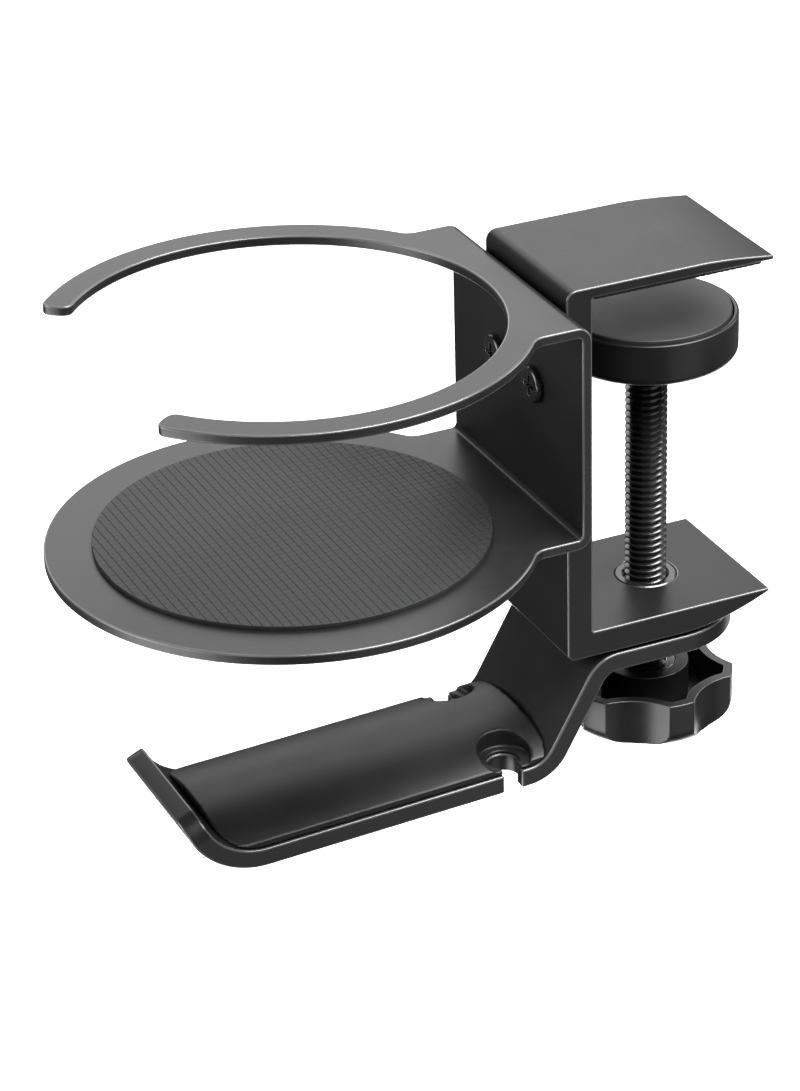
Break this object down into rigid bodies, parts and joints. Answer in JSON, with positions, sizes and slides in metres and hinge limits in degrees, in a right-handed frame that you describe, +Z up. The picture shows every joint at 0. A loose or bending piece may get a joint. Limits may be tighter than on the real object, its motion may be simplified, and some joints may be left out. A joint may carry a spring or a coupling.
{
  "type": "desk clamp cup holder",
  "caption": "Desk clamp that carries an open cup ring above a round base plate, with a padded headphone bar that swivels below and a knob-driven screw with a pressure pad.",
  "frame": {"origin": "on the clamp screw's axis, on the gripping face of the upper jaw's liner", "axes": "+X from the cup ring to the open end of the jaws, +Y across the width, +Z up along the clamp screw"},
  "size_m": [0.1611, 0.1072, 0.1208],
  "materials": {
    "coated_metal": "satin black coating",
    "black_steel": "black oxide, semi-gloss",
    "rubber": "matt black",
    "inlay_rubber": "matt dark grey",
    "black_plastic": "satin moulded black",
    "nylon": "plain black"
  },
  "bodies": {
    "clamp": {"clamp_frame": "coated_metal", "jaw_liner": "rubber", "threaded_bushing": "black_steel", "cup_bracket": "coated_metal", "cup_mat": "rubber", "bracket_screw_near": "black_steel", "bracket_screw_far": "black_steel", "hanger_nut": "black_steel"},
    "pad": {"pad_cup": "black_plastic", "pad_plate": "black_plastic", "pad_inlay": "inlay_rubber"},
    "screw": {"clamp_screw": "black_steel", "screw_flange": "black_steel", "knob": "black_plastic", "knob_insert": "black_steel", "knob_screw": "black_steel"},
    "hanger": {"hanger_bracket": "coated_metal", "hanger_pad": "rubber", "hanger_washer": "nylon", "spring_washer": "black_steel"}
  },
  "joints": [
    {"name": "pad_slide", "type": "slide", "parent": "clamp", "child": "pad", "axis": [0, 0, 1], "range_m": [-0.052, 0.0075]},
    {"name": "screw_spin", "type": "hinge", "parent": "pad", "child": "screw", "pos_m": [0, 0, 0], "axis": [0, 0, 1], "range_deg": [-11850, 1750]},
    {"name": "hanger_swivel", "type": "hinge", "parent": "clamp", "child": "hanger", "pos_m": [0, 0, 0], "axis": [0, 0, 1], "continuous": true}
  ],
  "couplings": [
    {"joint": "screw_spin", "follows": "pad_slide", "rad_per_m": 3957.9}
  ]
}
